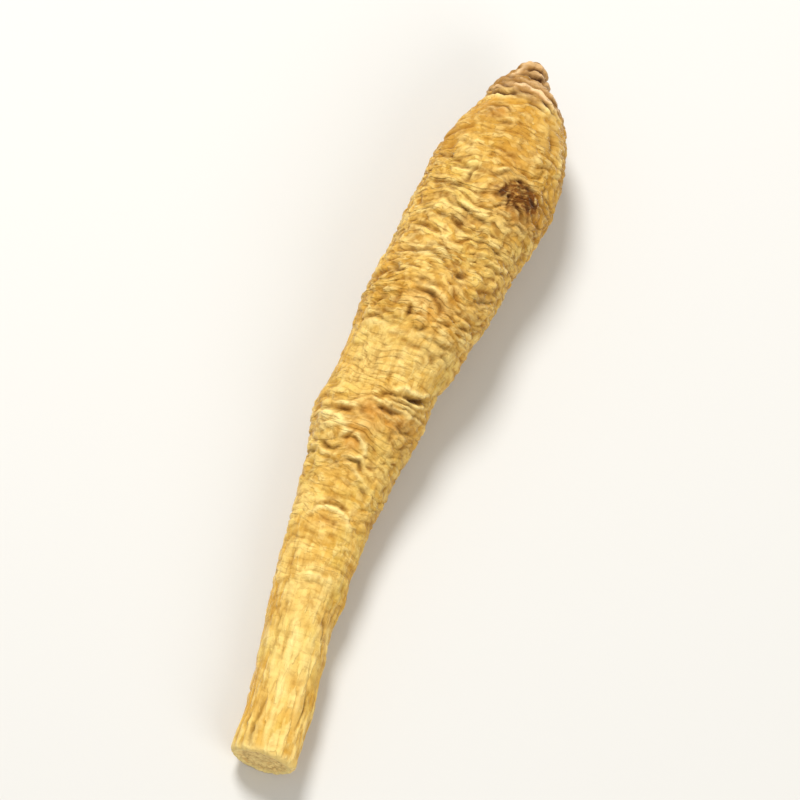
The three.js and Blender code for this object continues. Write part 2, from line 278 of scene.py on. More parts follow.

# Ridges that stand out of the skin, their tops pale partly from rubbing and partly as a painted
# highlight: width, height, paleness, and the places they run through
RIDGES = [
    (0.32, 0.26, 1.8, (-1.8, 3.9), (-0.4, 3.6), (0.8, 3.5), (2.0, 3.8), (3.1, 4.2), (4.2, 4.7),
     (5.2, 5.3), (5.9, 6.1)),
    (0.22, 0.1, 1.1, (-0.4, 1.7), (1.0, 1.6), (2.3, 1.75), (3.3, 2.2)),
    (0.45, 0.08, 0.9, (0.2, 0.4), (-0.9, 1.2), (-1.5, 2.4), (-1.9, 3.4)),
    (0.35, 0.14, 0.8, (-1.4, 4.0), (-2.4, 4.2), (-3.2, 4.9), (-3.5, 5.4)),
    (0.3, 0.15, 0.6, (-0.9, 0.8), (0.0, 0.3), (1.2, 0.3), (2.0, 0.9)),
    (0.4, 0.22, 0.5, (3.6, 5.7), (5.0, 6.0), (6.3, 6.4)),
    (0.4, 0.22, 0.4, (-3.9, 6.8), (-2.9, 6.4), (-1.8, 6.1), (-0.6, 5.7)),
    (0.5, 0.22, 0.5, (7.2, 9.4), (8.1, 11.8), (8.7, 14.6)),
    (0.35, 0.18, 0.45, (-0.2, 15.2), (1.0, 15.2), (2.4, 14.8)),
    (0.4, 0.18, 0.4, (-4.6, 20.2), (-2.8, 20.5), (-0.6, 20.9), (1.4, 21.5)),
    (0.4, 0.2, 0.45, (-5.2, 22.2), (-3.4, 22.3), (-1.4, 22.8), (0.6, 23.3)),
    (0.4, 0.2, 0.45, (-3.6, 26.0), (-2.2, 25.8), (-1.0, 26.3)),
    (0.4, 0.24, 0.5, (-3.4, 27.6), (-2.2, 27.3), (-1.2, 27.9)),
    (0.45, 0.22, 0.5, (-3.8, 32.3), (-2.2, 32.3), (-0.4, 32.8), (1.2, 33.8)),
    (0.45, 0.2, 0.4, (-8.2, 39.0), (-6.0, 38.8), (-4.0, 39.1), (-1.6, 38.9)),
    (0.3, 0.35, 0.75, (-1.4, 45.9), (0.2, 45.4), (1.6, 45.7), (3.0, 45.3)),
    (0.22, 0.25, 0.7, (-1.4, 47.0), (0.4, 46.9), (2.2, 47.1), (3.4, 46.9)),
    (0.22, 0.25, 0.7, (-3.2, 47.9), (-1.0, 47.7), (1.0, 47.8), (3.2, 48.0)),
    (0.22, 0.22, 0.6, (-2.8, 48.4), (0.0, 48.4), (2.4, 48.7), (3.6, 49.2)),
    (0.42, 0.34, 0.55, (-9.9, 52.8), (-8.6, 51.7), (-6.3, 51.8), (-5.3, 52.7), (-5.7, 53.9)),
    (0.34, 0.34, 0.6, (-5.3, 53.4), (-4.8, 52.8), (-3.7, 52.9), (-2.6, 53.9), (-1.9, 55.1),
     (-2.8, 55.8), (-4.4, 55.9)),
    (0.32, 0.28, 0.5, (-8.8, 56.2), (-8.0, 55.8), (-7.0, 56.5), (-5.8, 56.4)),
    (0.3, 0.3, 0.6, (-3.1, 56.9), (-1.7, 57.9), (0.0, 58.9)),
    (0.45, 0.28, 0.45, (-7.6, 50.1), (-6.2, 49.6), (-4.9, 49.5)),
    (0.35, 0.25, 0.5, (-9.0, 54.8), (-9.0, 56.4), (-8.6, 57.8)),
    (0.34, 0.36, 0.65, (-6.4, 65.0), (-5.5, 63.6), (-4.5, 62.9), (-3.2, 62.6), (-1.9, 62.9),
     (-0.9, 63.7), (0.2, 65.0)),
    (0.3, 0.16, 0.4, (-4.4, 70.9), (-3.0, 71.3), (-1.2, 71.2), (0.6, 71.5)),
    (0.55, 0.2, 0.35, (-3.4, 73.5), (-2.2, 79.0), (-1.4, 85.0), (-0.8, 93.0)),
    (0.45, 0.16, 0.25, (0.6, 82.0), (1.2, 87.0), (1.4, 92.5)),
]

# Lumps of the head, of the crumpled stretch and the lobes of the side root's scar:
# place, half sizes across and down, height
LUMPS = [
    ((3.8, 6.6), 1.0, 0.5, 0.16),
    ((0.9, 7.6), 0.7, 0.5, 0.14),
    ((-2.7, 8.4), 0.7, 0.4, 0.16),
    ((0.0, 8.6), 0.7, 0.5, 0.14),
    ((4.5, 9.0), 0.9, 0.9, 0.18),
    ((-3.6, 10.9), 0.9, 0.7, 0.15),
    ((1.6, 11.0), 0.7, 0.9, 0.16),
    ((-1.1, 12.0), 0.7, 0.9, 0.16),
    ((5.0, 12.0), 0.8, 1.1, 0.16),
    ((-3.3, 13.4), 0.8, 0.7, 0.16),
    ((2.0, 14.0), 1.0, 0.5, 0.16),
    ((-4.9, 14.2), 0.7, 0.6, 0.14),
    ((-0.8, 15.1), 0.8, 0.5, 0.14),
    ((-1.6, 36.0), 0.9, 0.8, 0.35),
    ((0.6, 36.3), 0.8, 0.7, 0.32),
    ((1.7, 37.4), 0.8, 0.6, 0.32),
    ((2.8, 38.1), 0.6, 0.5, 0.26),
    ((-2.2, 34.6), 1.1, 0.6, 0.24),
    ((-5.0, 36.4), 1.1, 0.8, 0.22),
    ((3.9, 36.6), 1.1, 0.9, 0.22),
    ((-7.6, 52.7), 1.7, 1.0, 0.38),
    ((-2.9, 71.4), 1.3, 1.0, 0.14),
]

# Patches of another tone: tone, place, half sizes across and down, strength
PATCHES = [
    ("spot", (2.5, 17.4), 1.0, 1.2, 1.0),
    ("spot", (4.8, 16.4), 2.4, 0.8, 1.1),
    ("spot", (6.4, 17.8), 1.4, 1.4, 1.2),
    ("spot", (4.7, 18.0), 2.7, 1.6, 0.9),
    ("rust", (4.9, 18.6), 3.6, 2.2, 0.9),
    ("rust", (1.8, 14.0), 2.0, 2.4, 0.3),
    ("rust", (-2.2, 8.2), 2.0, 1.1, 0.4),
    ("ochre", (1.2, 8.4), 2.2, 2.2, 0.8),
    ("ochre", (2.0, 12.2), 2.2, 3.0, 0.45),
    ("ochre", (-2.4, 8.0), 2.2, 1.6, 0.9),
    ("ochre", (5.9, 9.2), 0.8, 2.4, 0.8),
    ("ochre", (4.2, 13.6), 1.4, 2.4, 0.6),
    ("ochre", (-6.6, 13.5), 1.2, 3.6, 0.75),
    ("ochre", (-4.8, 11.2), 1.2, 2.0, 0.7),
    ("crown", (0.9, 5.0), 2.8, 0.8, 0.65),
    ("crown", (-2.8, 7.9), 1.8, 0.7, 0.45),
    ("rust", (-0.6, 34.6), 3.6, 2.6, 0.55),
    ("rust", (1.0, 30.5), 2.0, 2.2, 0.3),
    ("rust", (-1.8, 49.7), 4.2, 1.5, 0.85),
    ("rust", (1.6, 49.8), 1.4, 1.1, 0.6),
    ("rust", (-4.1, 54.4), 1.1, 0.9, 0.6),
    ("rust", (-4.2, 51.6), 2.6, 1.4, 0.5),
    ("rust", (-3.4, 64.3), 1.5, 0.6, 0.45),
    ("pale", (-3.4, 13.0), 1.2, 2.2, 0.25),
    ("pale", (5.0, 9.2), 1.4, 2.2, 0.35),
    ("pale", (5.0, 28.8), 2.2, 2.0, 0.6),
    ("pale", (-2.8, 30.2), 1.9, 1.4, 0.5),
    ("pale", (-5.6, 43.4), 2.0, 4.6, 0.7),
    ("pale", (0.4, 54.4), 1.4, 3.2, 0.4),
    ("pale", (-6.6, 60.4), 2.0, 2.2, 0.3),
]

# How uneven the patches' strength is about its middle, and how far they spread beyond their size
BLOTCH_MIDDLE = 0.8
BLOTCH_UNEVEN = 0.7
PATCH_SPREAD = 1.4

# The painted highlight down the ridge of the tail: half width, strength, and the places it runs through
TAIL_HIGHLIGHT = (1.7, 0.9, (-3.2, 72.5), (-2.4, 79.0), (-1.4, 86.0), (-0.6, 94.5))

# Rings of old stem scars on the crown: how far along each lies on the right, top, left and under
# side, how strongly it shows there, how far its lip stands out, how long its rise and drop are, and
# how dark its groove is with painted shade
SCAR_RINGS = [
    ((1.5, 1.4, 1.4, 1.5), (0.6, 0.5, 0.1, 0.7), 0.14, 0.35, 0.2, 0.6),
    ((2.8, 2.7, 2.5, 2.7), (0.8, 0.6, 0.0, 0.8), 0.2, 0.4, 0.2, 0.8),
    ((5.3, 4.4, 4.6, 5.2), (0.7, 0.7, 0.3, 0.9), 0.26, 0.5, 0.22, 0.9),
    ((6.4, 6.6, 6.5, 6.7), (0.4, 0.4, 0.7, 0.9), 0.22, 0.55, 0.25, 0.8),
]

# What the skin's tones are called: each is a share of 1 at every point of the skin
TONES = ("crack", "rubbed_and_highlight", "spot", "rust", "ochre", "pale", "crown")

# How a mark fades towards its ends and how unevenly it shows, from least to most
MARK_END = 0.04
MARK_UNEVEN = 0.7
MARK_SHOWS = (0.4, 1.3)

# A crease's lips: how far out and how wide they are for its width, how high for its depth, and how
# pale, as a painted highlight, for its darkness
LIP_OUT = 2.4
LIP_WIDTH = 1.2
LIP_HEIGHT = 0.25
LIP_HIGHLIGHT = 0.4

# Creases on the hidden sides: how many, the ranges their places, half lengths, slants, bows and
# sizes come from, and the width, depth and darkness of a middling one
STREWN = {"seed": 5, "count": 90, "along": (10.0, 94.0), "turn": (192.0, 352.0),
          "half_length": (0.8, 3.2), "slant": (-0.8, 0.8), "bow": (-0.6, 0.6), "size": (0.7, 1.3),
          "crease": (0.24, 0.28, 0.5)}

# Lumps and patches stay off skin that faces further down than this
UNDERSIDE = -0.2

# A stem scar's ring: how unevenly it shows and the most it may, how deep its groove is for its lip
# and how far below it for its drop, and how pale, how far up and how wide its crest is, pale partly
# from rubbing and partly as a painted highlight
RING_UNEVEN = 0.8
RING_MOST = 1.3
GROOVE_DEPTH = 0.8
GROOVE_BELOW = 2.2
RING_PALE = 0.5
RING_CREST_UP = 0.05
RING_CREST_WIDTH = 0.28

# The hollow that the last stem left at the very tip, darkened with painted shade, and the rim round it
TIP_HOLLOW = {"reach": 1.4, "fade": 1.0, "width": 0.5, "depth": 0.12, "dark": 0.5}
TIP_RIM = {"out": 1.0, "width": 0.3, "height": 0.05}

# Where the crown's brown ends along the root, how uneven that edge is, and how soft
CROWN_TONE_END = 7.6
CROWN_TONE_UNEVEN = 0.9
CROWN_TONE_FADE = 1.4

# The skin's edge at the cut, rubbed pale: how strongly, and how far up the root
EDGE_PALE = 0.75
EDGE_PALE_WIDTH = 0.7

# The cut face: how far its middle is sunk, and how fast, for its radius, it sinks and grows rough
FLESH_SUNK = 0.3
SINK_RATE = 2.2
ROUGH_RATE = 4

# Stacks in which the rings round the root wander together, in millimetres across and down, and how
# many rings they wander by
RING_STACK = (9.0, 5.0)
RING_WANDER = 5.0

# Lines between the rings: what share of a spacing each takes up, and its dashes in millimetres
RING_LINES = {"fold": 0.2, "across": 3.6, "down": 1.3}
FINE_RINGS = {"spacing": 0.9, "seed": 23.0, "fold": 0.24, "across": 1.7, "down": 0.6}

# The kinds of cell in the skin, and what share of a cell the fold beside it takes up
CELLS = {"Pucker": 0.17, "Crinkle": 0.16, "Strand": 0.14}

# How dark the painted shade is in each kind of fold
FOLD_SHADE = {"Ring line": 0.6, "Fine ring line": 0.5, "Pucker line": 0.45, "Strand line": 0.35,
        "Crinkle line": 0.35}

# Cloudy patches of the skin: millimetres across and down, the noise at which one starts and is full,
# and how finely broken it is. Real fibres are finer, and these are as coarse as they need to show.
CLOUDS = {
    "straw": (6.0, 7.0, 0.38, 0.62, 3.0),
    "olive": (4.6, 4.2, 0.48, 0.66, 3.0),
    "ochre": (2.3, 1.7, 0.44, 0.70, 3.0),
    # breaks up the painted shade of the folds
    "shade_patchiness": (1.2, 1.0, 0.35, 0.6, 3.0),
    "char": (0.7, 0.5, 0.25, 0.62, 3.0),
    "fibres": (0.16, 0.16, 0.2, 0.8, 2.0),
}
CLOUD_SEED = 3.0

# Papery flakes, in millimetres across and down: on the ringed skin, and on the grain of the tail
FLAKE = (1.1, 0.6)
LONG_FLAKE = (0.6, 2.4)
FLAKE_SEED = 7.0

# On the cut face, whose radius is 1: how ragged its marks are, and where the cambium's ring lies
FLESH_RAGGED = 0.22
CAMBIUM_REACH = 0.66


# Linear colour of an sRGB hex value, with alpha
def linear(hex_colour):
    parts = [int(hex_colour[i:i + 2], 16) / 255 for i in (1, 3, 5)]
    return (*[c / 12.92 if c <= 0.04045 else ((c + 0.055) / 1.055) ** 2.4 for c in parts], 1.0)


# Gives sockets of a node, by name or number, a value, an sRGB hex colour or another node's output
def give(tree, node, inputs):
    for socket, value in inputs.items():
        if isinstance(value, bpy.types.NodeSocket):
            tree.links.new(value, node.inputs[socket])
        elif isinstance(value, str) and value.startswith("#"):
            node.inputs[socket].default_value = linear(value)
        elif node.inputs[socket].type == "VECTOR" and isinstance(value, float):
            node.inputs[socket].default_value = (value, value, value)
        else:
            node.inputs[socket].default_value = value


# Adds a node to a tree with its settings and links, and gives back one of its outputs
def add(tree, kind, inputs=None, output=0, **settings):
    node = tree.nodes.new(kind)
    for name, value in settings.items():
        setattr(node, name, value)
    give(tree, node, inputs or {})
    return node.outputs[output] if node.outputs else node


# A new material with its tree and its main shader
def new_finish(name):
    finish = bpy.data.materials.new(name)
    finish.use_nodes = True
    return finish, finish.node_tree, finish.node_tree.nodes["Principled BSDF"]


# Puts a mesh, camera or light into the scene as an object
def place_object(name, data):
    placed = bpy.data.objects.new(name, data)
    bpy.context.scene.collection.objects.link(placed)
    return placed


# Distances along the root at which the skin has a ring of points
def station_distances(length):
    tip = [TIP_END * (i / TIP_RINGS) ** 2 for i in range(1, TIP_RINGS + 1)]
    crown = np.arange(TIP_END + CROWN_STEP, CROWN_END, CROWN_STEP)
    wrinkled = np.arange(CROWN_END, WRINKLED_END, WRINKLED_STEP)
    tail = np.arange(WRINKLED_END, length - CUT_EDGE, TAIL_STEP)
    edge = np.linspace(length - CUT_EDGE, length, round(CUT_EDGE / CUT_EDGE_STEP) + 1)
    return np.concatenate([tip, crown, wrinkled, tail, edge])


# Weights that blur a row of values over a real distance, where spots are the values' places
def blur_weights(spots, distance):
    gaps = spots[:, None] - spots[None, :]
    weights = np.exp(-0.5 * (gaps / distance) ** 2)
    return weights / weights.sum(axis=1, keepdims=True)


# The CAD root as a solid that rays can be cast at, in millimetres
def read_solid(node):
    corners = [Vector(v.co) / MM for v in node.data.vertices]
    return BVHTree.FromPolygons(corners, [p.vertices[:] for p in node.data.polygons])


# Moves a point to halfway between the two sides of the solid that rays along one axis meet
def centre_it(solid, point, axis):
    hits = []
    for side in (-1, 1):
        start = point.copy()
        start[axis] = side * FAR
        way = Vector((0, 0, 0))
        way[axis] = -side
        hits.append(solid.ray_cast(start, way)[0])
    if all(hits):
        point[axis] = (hits[0][axis] + hits[1][axis]) / 2


# The CAD root's sections: its centre line, and its radius at every station and turn
def read_sections(solid, crown_y, stations, turns):
    read_at = crown_y - np.clip(stations, TIP_CLEAR, stations[-1] - END_CLEAR)
    centres = []
    x, z = TIP_RIGHT, CROWN_HEIGHT
    for y in read_at:
        centre = Vector((x, y, z))
        for axis in (0, 2, 0, 2):
            centre_it(solid, centre, axis)
        centres.append(centre)
        x, z = centre.x, centre.z
    line = blur_weights(stations, LINE_BLUR) @ np.array(centres)
    line[:, 1] = crown_y - stations
    radii = np.zeros((len(stations), len(turns)))
    for i, centre in enumerate(line):
        start = Vector((centre[0], read_at[i], centre[2]))
        for j, turn in enumerate(turns):
            hit = solid.ray_cast(start, Vector((math.cos(turn), 0, math.sin(turn))))
            radii[i, j] = hit[3] if hit[0] else LEAST_RADIUS
    return line, radii


# How far the sawn end leans: millimetres towards the crown for each millimetre up
def read_cut_lean(solid, centre):
    low, high = [solid.ray_cast(Vector((centre[0], -FAR, centre[2] + up)), Vector((0, 1, 0)))[0]
                 for up in (-CUT_RISE, CUT_RISE)]
    return (high.y - low.y) / (2 * CUT_RISE)


# Takes the facets of the CAD solid out of its radii, and rounds the edge of the cut
def smooth_radii(radii, stations, turns):
    body = blur_weights(stations, BODY_BLUR) @ radii
    crown = blur_weights(stations, CROWN_BLUR) @ radii
    to_end = stations[-1] - stations
    is_body = np.clip((stations - BODY_START) / BODY_FADE, 0, 1)[:, None]
    is_body = is_body * np.clip(to_end / END_FADE, 0, 1)[:, None]
    mixed = crown * (1 - is_body) + body * is_body
    ring = np.exp(-0.5 * (np.minimum(turns, 2 * math.pi - turns) / math.radians(TURN_BLUR)) ** 2)
    spectrum = np.fft.rfft(ring / ring.sum())
    smooth = np.fft.irfft(np.fft.rfft(mixed, axis=1) * spectrum, n=len(turns), axis=1)
    into_edge = np.clip(1 - to_end / CUT_EDGE, 0, 1)[:, None]
    return smooth + EDGE_FLARE * into_edge - EDGE_ROUND * (1 - np.sqrt(1 - into_edge ** 2))


# Adds soft random shifts, read at the points, to a start. They are the same on each run.
def drift(points, rows, start=0.0):
    total = start
    for strength, size, seed in rows:
        offset = Vector([seed * step for step in SEED_STEPS])
        shifts = np.array([noise.noise_vector(Vector(p) / size + offset) for p in points])
        total = total + strength * shifts
    return total


# The bare skin before wrinkles: points, outward directions, and what the wrinkles need to know
class Skin:
    def __init__(self, node):
        low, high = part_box("ginseng_root")
        self.length = (high.y - low.y) / MM
        self.crown_y = high.y / MM
        self.stations = station_distances(self.length)
        self.turns = np.arange(AROUND) * 2 * math.pi / AROUND
        solid = read_solid(node)
        self.line, radii = read_sections(solid, self.crown_y, self.stations, self.turns)
        self.cut_lean = read_cut_lean(solid, self.line[-1])
        self.radii = smooth_radii(radii, self.stations, self.turns)
        across, up = self.radii * np.cos(self.turns), self.radii * np.sin(self.turns)
        along = np.repeat(self.stations[:, None], AROUND, axis=1)
        into_end = np.clip((self.stations - self.length) / LEAN_START + 1, 0, 1)
        into_end = into_end ** 2 * (3 - 2 * into_end)
        height = self.line[:, None, 2] + up
        down_root = self.line[:, None, 1] + self.cut_lean * into_end[:, None] * height
        grid = np.stack([self.line[:, None, 0] + across, down_root, height], axis=2)
        round_it = np.roll(grid, -1, axis=1) - np.roll(grid, 1, axis=1)
        outward = np.cross(round_it, np.gradient(grid, axis=0))
        outward /= np.linalg.norm(outward, axis=2, keepdims=True)
        self.points = grid.reshape(-1, 3)
        self.outward = outward.reshape(-1, 3)
        self.along = along.ravel()
        self.turn = np.tile(self.turns, len(self.stations))
        self.straight = np.stack([across, along, up], axis=2).reshape(-1, 3)
        self.woven = drift(self.straight, WOVEN, self.straight)
        self.threads = drift(self.straight, THREADS, self.straight)
        self.relief = np.zeros(len(self.points))
        self.tones = {name: np.zeros(len(self.points)) for name in TONES}
        shift = drift(self.points, WANDER)
        shift -= self.outward * np.sum(shift * self.outward, axis=1, keepdims=True)
        self.wander = self.points + shift
        self.uneven = drift(self.points, UNEVEN)
        self.shell = BVHTree.FromPolygons(self.points.tolist(), self.faces())

    # Quads between neighbouring stations, facing outwards
    def faces(self):
        quads = []
        for i in range(len(self.stations) - 1):
            quads += quads_between(i * AROUND, (i + 1) * AROUND)
        return quads

    # The point of the skin that the photo's camera sees, right of and down from the crown's tip
    def seen(self, right, down):
        start = Vector((right + TIP_RIGHT, self.crown_y, 0)) - PICTURE_UP * (down - TIP_DOWN)
        hit = self.shell.ray_cast(start + TO_CAMERA * FAR, -TO_CAMERA)[0]
        return np.array(hit) if hit else np.array(start)

    # The point of the skin at a distance along the root and an angle round it, in degrees
    def at(self, along, degrees):
        row = int(np.argmin(np.abs(self.stations - along)))
        column = round(degrees / 360 * AROUND) % AROUND
        return self.points[row * AROUND + column]

    # Adds a tone where it is stronger than what is there
    def tint(self, tone, amount):
        self.tones[tone] = np.maximum(self.tones[tone], amount)


# Quads between two rings of points, given the number of each ring's first point
def quads_between(upper, lower):
    nexts = [(j + 1) % AROUND for j in range(AROUND)]
    return [(upper + j, upper + n, lower + n, lower + j) for j, n in enumerate(nexts)]


# A value given for the right, top, left and under side, read smoothly all round
def read_round(sides, turn):
    right, top, left, under = sides
    return ((right + top + left + under) / 4 + (right - left) / 2 * np.cos(turn)
            + (top - under) / 2 * np.sin(turn) + (right + left - top - under) / 4 * np.cos(2 * turn))


# A hill of height 1 at 0, falling away over a width
def hill(distance, width):
    return np.exp(-(distance / width) ** 2)


# Each point's distance from a line through places, and how far down the line it lies, 0 to 1
def measure_from(line, points):
    steps = np.linalg.norm(np.diff(line, axis=0), axis=1)
    starts = np.concatenate([[0], np.cumsum(steps)]) / steps.sum()
    nearest = np.full(len(points), np.inf)
    share = np.zeros(len(points))
    for i, step in enumerate(steps):
        way = line[i + 1] - line[i]
        part = np.clip(((points - line[i]) @ way) / step ** 2, 0, 1)
        distance = np.linalg.norm(points - line[i] - part[:, None] * way, axis=1)
        closer = distance < nearest
        nearest[closer] = distance[closer]
        share[closer] = starts[i] + part[closer] * (starts[i + 1] - starts[i])
    return nearest, share


# How far each point is from a line on the skin, and a share of 1 that fades towards its ends
def follow(skin, line):
    near, share = measure_from(line, skin.wander)
    fade = np.sin(math.pi * np.clip(share, MARK_END, 1 - MARK_END)) ** 0.5
    return near, fade * np.clip(1.0 + MARK_UNEVEN * skin.uneven[:, 0], *MARK_SHOWS)


# The same for a line that the photo shows, given by places in the picture
def follow_seen(skin, run):
    return follow(skin, np.array([skin.seen(*place) for place in run]))


# Presses one crease into the skin, with lips that swell beside it. Its core is darkened, partly its own
# brown and partly painted shade.
def press(skin, near, fade, width, depth, dark):
    core = hill(near, width) * fade
    lips = hill(near - LIP_OUT * width, LIP_WIDTH * width) * fade
    skin.relief += depth * (LIP_HEIGHT * lips - core)
    # the crease's core is darkened, partly its own brown and partly painted shade
    skin.tint("crack", dark * core)
    # the lips are paled with a painted highlight
    skin.tint("rubbed_and_highlight", LIP_HIGHLIGHT * dark * lips)


# Presses in the creases that the photo shows
def press_creases(skin):
    for width, depth, dark, *run in CREASES:
        press(skin, *follow_seen(skin, run), width, depth, dark)


# Creases of the same kind on the sides that the photo hides: short arcs round the root
def strew_creases(skin):
    dice = np.random.default_rng(STREWN["seed"])
    for _ in range(STREWN["count"]):
        along = dice.uniform(*STREWN["along"])
        middle = dice.uniform(*STREWN["turn"])
        radius = float(np.mean(skin.radii[np.argmin(np.abs(skin.stations - along))]))
        half = math.degrees(dice.uniform(*STREWN["half_length"]) / radius)
        slant = dice.uniform(*STREWN["slant"])
        bow = dice.uniform(*STREWN["bow"])
        line = np.array([skin.at(along + slant * s + bow * s * s, middle + half * s)
                         for s in (-1, -0.5, 0, 0.5, 1)])
        size = dice.uniform(*STREWN["size"])
        press(skin, *follow(skin, line), *[value * size for value in STREWN["crease"]])


# Raises the ridges and paints their tops pale, partly rubbed and partly a painted highlight
def raise_ridges(skin):
    for width, height, pale, *run in RIDGES:
        near, fade = follow_seen(skin, run)
        core = hill(near, width) * fade
        skin.relief += height * core
        # the ridge tops are paled, partly rubbed and partly a painted highlight
        skin.tint("rubbed_and_highlight", pale * core)


# Share of 1 inside an oval on the skin's upper side, fading at its edge
def oval(skin, at, across, down):
    off = skin.wander - skin.seen(*at)
    off_down = np.hypot(off[:, 1], off[:, 2] * math.cos(VIEW_ELEVATION))
    share = np.exp(-(off[:, 0] / across) ** 2 - (off_down / down) ** 2)
    return share * (skin.outward[:, 2] > UNDERSIDE)


# Swells the lumps
def raise_lumps(skin):
    for at, across, down, height in LUMPS:
        skin.relief += height * oval(skin, at, across, down)


# Stains the patches, blotched and spread a little, and paints the highlight down the tail's ridge
def stain_patches(skin):
    blotch = BLOTCH_MIDDLE + BLOTCH_UNEVEN * skin.uneven[:, 1]
    for tone, at, across, down, strength in PATCHES:
        share = np.clip(PATCH_SPREAD * oval(skin, at, across, down) * blotch, 0, 1)
        skin.tint(tone, share * strength)
    # painted highlight down the tail's ridge, laid into the pale tone
    width, strength, *run = TAIL_HIGHLIGHT
    near, fade = follow_seen(skin, run)
    skin.tint("pale", strength * hill(near, width) * fade)


# The stem scars of the crown: each ring rises slowly, drops sharply and has a groove below it,
# darkened with painted shade
def turn_crown(skin):
    along = skin.crown_y - skin.wander[:, 1]
    for ring_along, ring_show, height, rise, drop, dark in SCAR_RINGS:
        past = along - read_round(ring_along, skin.turn)
        show = read_round(ring_show, skin.turn) * (1 + RING_UNEVEN * skin.uneven[:, 2])
        show = np.clip(show, 0, RING_MOST)
        lip = hill(past, np.where(past < 0, rise, drop))
        groove = hill(past - GROOVE_BELOW * drop, drop)
        skin.relief += show * height * (lip - GROOVE_DEPTH * groove)
        # the ring's crest is paled, partly rubbed and partly a painted highlight
        skin.tint("rubbed_and_highlight", RING_PALE * show * hill(past + RING_CREST_UP, RING_CREST_WIDTH))
        # painted shade in the groove below the ring
        skin.tint("crack", dark * show * groove)
    from_axis = np.hypot(skin.straight[:, 0], skin.straight[:, 2])
    at_tip = np.clip((TIP_HOLLOW["reach"] - skin.along) / TIP_HOLLOW["fade"], 0, 1)
    hollow = hill(from_axis, TIP_HOLLOW["width"])
    rim = hill(from_axis - TIP_RIM["out"], TIP_RIM["width"])
    skin.relief += at_tip * (TIP_RIM["height"] * rim - TIP_HOLLOW["depth"] * hollow)
    # painted shade in the tip's hollow
    skin.tint("crack", TIP_HOLLOW["dark"] * at_tip * hollow)
    brown_end = CROWN_TONE_END + CROWN_TONE_UNEVEN * skin.uneven[:, 0]
    skin.tint("crown", np.clip((brown_end - along) / CROWN_TONE_FADE, 0, 1))


# The skin's edge at the cut is rubbed pale
def pale_cut_edge(skin):
    skin.tint("rubbed_and_highlight", EDGE_PALE * hill(skin.length - skin.along, EDGE_PALE_WIDTH))


# The camera stands where the photo's stood, and aims at the middle of the root
def make_camera():
    side = Vector((1, 0, 0))
    up = PICTURE_UP * math.cos(LEAN) - side * math.sin(LEAN)
    right = PICTURE_UP * math.sin(LEAN) + side * math.cos(LEAN)
    low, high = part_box("ginseng_root")
    aim = (low + high) / 2
    data = bpy.data.cameras.new("photo_camera")
    data.sensor_width = SENSOR
    data.lens = SENSOR * CAMERA_DISTANCE / VIEW_HEIGHT
    data.clip_start = CLIP_START
    camera = place_object("photo_camera", data)
    turn = Matrix((right, up, TO_CAMERA)).transposed().to_4x4()
    camera.matrix_world = Matrix.Translation(aim + TO_CAMERA * CAMERA_DISTANCE * MM) @ turn
    bpy.context.scene.camera = camera


# One softbox from the crown's side and left, low enough to draw the wrinkles, and one weak fill
def make_studio():
    for name, (place, size, power) in SOFTBOXES.items():
        data = bpy.data.lights.new(name, "AREA")
        data.shape = "DISK"
        data.size = size
        data.energy = power
        light = place_object(name, data)
        light.location = place
        light.rotation_mode = "QUATERNION"
        light.rotation_quaternion = (-Vector(place)).to_track_quat("-Z", "Y")
    world = bpy.data.worlds.new("pale_room")
    world.use_nodes = True
    tree = world.node_tree
    give(tree, tree.nodes["Background"], {"Color": ROOM_WHITE, "Strength": ROOM_STRENGTH})
    bpy.context.scene.world = world
    bpy.context.scene.view_settings.view_transform = "Standard"


# Matte painted table top: even, pale and a little rough, so it gives a soft shadow and no gloss
def table_paint():
    paint, tree, shader = new_finish("matte_white_table_paint")
    place = add(tree, "ShaderNodeTexCoord", output="Object")
    mottle = add(tree, "ShaderNodeTexNoise", {"Vector": place, "Scale": 900.0, "Detail": 2.0})
    dent = add(tree, "ShaderNodeBump", {"Height": mottle, "Strength": 0.05, "Distance": 0.0001})
    give(tree, shader, {"Normal": dent, "Base Color": TABLE_WHITE, "Roughness": 0.7})
    return paint


# The plain table that the root lies on
def make_table():
    mesh = bpy.data.meshes.new("table_top")
    corners = [(x * TABLE_HALF, y * TABLE_HALF, 0) for x, y in ((-1, -1), (1, -1), (1, 1), (-1, 1))]
    mesh.from_pydata(corners, [], [(0, 1, 2, 3)])
    mesh.materials.append(table_paint())
    place_object("table_top", mesh)


# A place on the skin counted in wrinkles, each so many millimetres across and down
def count_wrinkles(tree, place, across, down, seed):
    size = add(tree, "ShaderNodeCombineXYZ", {0: across, 1: down, 2: across})
    counted = add(tree, "ShaderNodeVectorMath", {0: place, 1: size}, operation="DIVIDE")
    return add(tree, "ShaderNodeVectorMath", {0: counted, 1: seed}, operation="ADD")


# Cells that a shrinking skin breaks into: 1 in the fold between two cells, falling to 0 at so many
# cell widths from it, and the swell of the cell itself
def cell_folds(tree, place, across, down, seed, fold):
    counted = count_wrinkles(tree, place, across, down, seed)
    to_edge = add(tree, "ShaderNodeTexVoronoi", {"Vector": counted, "Scale": 1.0, "Randomness": 0.9},
                  "Distance", feature="DISTANCE_TO_EDGE")
    line = add(tree, "ShaderNodeMapRange", {"Value": to_edge, "From Min": 0.0, "From Max": fold,
               "To Min": 1.0, "To Max": 0.0}, interpolation_type="SMOOTHSTEP")
    swell = add(tree, "ShaderNodeMapRange", {"Value": to_edge, "From Min": 0.0, "From Max": 0.28,
                "To Min": -0.7, "To Max": 0.3}, interpolation_type="SMOOTHSTEP")
    return line, swell


